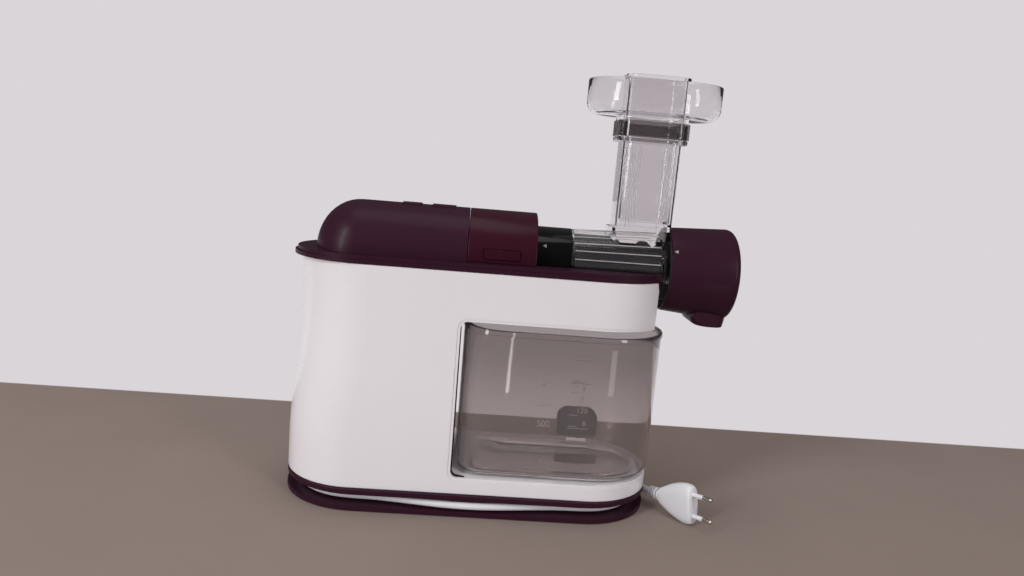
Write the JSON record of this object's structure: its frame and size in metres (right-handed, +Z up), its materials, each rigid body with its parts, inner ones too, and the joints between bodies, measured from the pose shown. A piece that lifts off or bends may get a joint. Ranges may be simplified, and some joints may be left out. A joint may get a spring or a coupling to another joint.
{
  "type": "slow juicer",
  "caption": "Slow juicer with a lying drum, feed chute with tray and pusher, pulp cap, smoked juice jug in a bay, lock cover, buttons and a cord groove.",
  "frame": {"origin": "middle of the base, on the face of its underside", "axes": "+X along the machine towards the pulp cap, -Y to the front, +Z up"},
  "size_m": [0.3706, 0.1252, 0.373],
  "materials": {
    "plum_plastic": "satin moulded",
    "burgundy_plastic": "glossy moulded",
    "white_plastic": "glossy moulded",
    "foot_rubber": "matt",
    "steel": "machined",
    "black_plastic": "glossy moulded",
    "board": "resist coated",
    "lead_insulation": "insulation",
    "gear_plastic": "moulded",
    "bush_bronze": "sintered",
    "cord_white": "soft moulded",
    "pin_nickel": "nickel plated",
    "clear_plastic": "clear moulded",
    "auger_plastic": "moulded",
    "smoke_plastic": "smoky clear moulded"
  },
  "bodies": {
    "machine": {"base_plate": "plum_plastic", "cord_spool": "plum_plastic", "rubber_feet": "foot_rubber", "base_screws": "steel", "body_shell": "white_plastic", "bay_liner": "white_plastic", "top_cover": "plum_plastic", "drum_cradle": "plum_plastic", "cover_screws": "steel", "hinge_pin": "steel", "power_spring": "steel", "reverse_spring": "steel", "switch_block": "black_plastic", "control_board": "board", "wiring_loom": "lead_insulation", "motor_can": "steel", "motor_end_bell": "black_plastic", "motor_bearings": "steel", "motor_screws": "steel", "gear_plate": "steel", "gear_cover": "plum_plastic", "gearbox_screws": "steel", "idler_shaft": "steel", "output_bushes": "bush_bronze", "drive_housing": "black_plastic", "shaft_seal": "foot_rubber", "juice_drain": "plum_plastic", "cord_gland": "black_plastic", "power_cord": "cord_white", "plug_relief": "cord_white", "plug_body": "cord_white", "plug_pins": "pin_nickel"},
    "motor_rotor": {"motor_shaft": "steel", "motor_fan": "black_plastic"},
    "idler": {"idler_gear": "gear_plastic"},
    "output": {"output_gear": "gear_plastic", "output_shaft": "steel"},
    "drum": {"drum_coupling": "black_plastic", "drum_barrel": "clear_plastic", "drum_seal": "foot_rubber", "strainer": "auger_plastic", "cap_seal": "foot_rubber"},
    "auger": {"auger": "auger_plastic", "auger_insert": "steel"},
    "cap": {"end_cap": "plum_plastic", "cap_bush": "black_plastic", "pulp_flap": "foot_rubber"},
    "tray": {"feed_tray": "clear_plastic", "collar_ring": "black_plastic"},
    "pusher": {"pusher": "clear_plastic"},
    "jug": {"juice_jug": "smoke_plastic", "jug_stopper": "foot_rubber"},
    "lock": {"lock_cover": "burgundy_plastic"},
    "latch": {"latch_button": "burgundy_plastic"},
    "power": {"power_button": "plum_plastic"},
    "reverse": {"reverse_button": "plum_plastic"}
  },
  "joints": [
    {"name": "output_turn", "type": "hinge", "parent": "machine", "child": "output", "pos_m": [0, 0, 0.211], "axis": [1, 0, 0], "continuous": true},
    {"name": "idler_turn", "type": "hinge", "parent": "machine", "child": "idler", "pos_m": [0, 0, 0.176], "axis": [1, 0, 0], "continuous": true},
    {"name": "motor_turn", "type": "hinge", "parent": "machine", "child": "motor_rotor", "pos_m": [0, 0, 0.14225], "axis": [1, 0, 0], "continuous": true},
    {"name": "drum_pull", "type": "slide", "parent": "machine", "child": "drum", "axis": [1, 0, 0], "range_m": [0, 0.12]},
    {"name": "auger_turn", "type": "hinge", "parent": "drum", "child": "auger", "pos_m": [0, 0, 0.211], "axis": [1, 0, 0], "continuous": true},
    {"name": "cap_twist", "type": "hinge", "parent": "drum", "child": "cap", "pos_m": [0.155, 0, 0.211], "axis": [1, 0, 0], "range_deg": [0, 40]},
    {"name": "tray_lift", "type": "slide", "parent": "drum", "child": "tray", "axis": [0, 0, 1], "range_m": [0, 0.06]},
    {"name": "pusher_slide", "type": "slide", "parent": "tray", "child": "pusher", "axis": [0, 0, 1], "range_m": [0, 0.13]},
    {"name": "jug_slide", "type": "slide", "parent": "machine", "child": "jug", "axis": [0, -1, 0], "range_m": [0, 0.13]},
    {"name": "lock_hinge", "type": "hinge", "parent": "machine", "child": "lock", "pos_m": [0.0135, 0.0442, 0.2143], "axis": [-1, 0, 0], "range_deg": [0, 95]},
    {"name": "latch_press", "type": "slide", "parent": "lock", "child": "latch", "axis": [0, 1, 0], "range_m": [0, 0.0015], "stiffness_N_per_m": 300, "springref_m": -0.001},
    {"name": "power_press", "type": "slide", "parent": "machine", "child": "power", "axis": [0, 0, -1], "range_m": [0, 0.0015], "stiffness_N_per_m": 400, "springref_m": -0.0015, "deforming": ["power_spring"]},
    {"name": "reverse_press", "type": "slide", "parent": "machine", "child": "reverse", "axis": [0, 0, -1], "range_m": [0, 0.0015], "stiffness_N_per_m": 400, "springref_m": -0.0015, "deforming": ["reverse_spring"]}
  ],
  "couplings": [
    {"joint": "idler_turn", "follows": "output_turn", "ratio": -1.6923},
    {"joint": "motor_turn", "follows": "output_turn", "ratio": 4.8352},
    {"joint": "auger_turn", "follows": "output_turn", "ratio": 1}
  ]
}
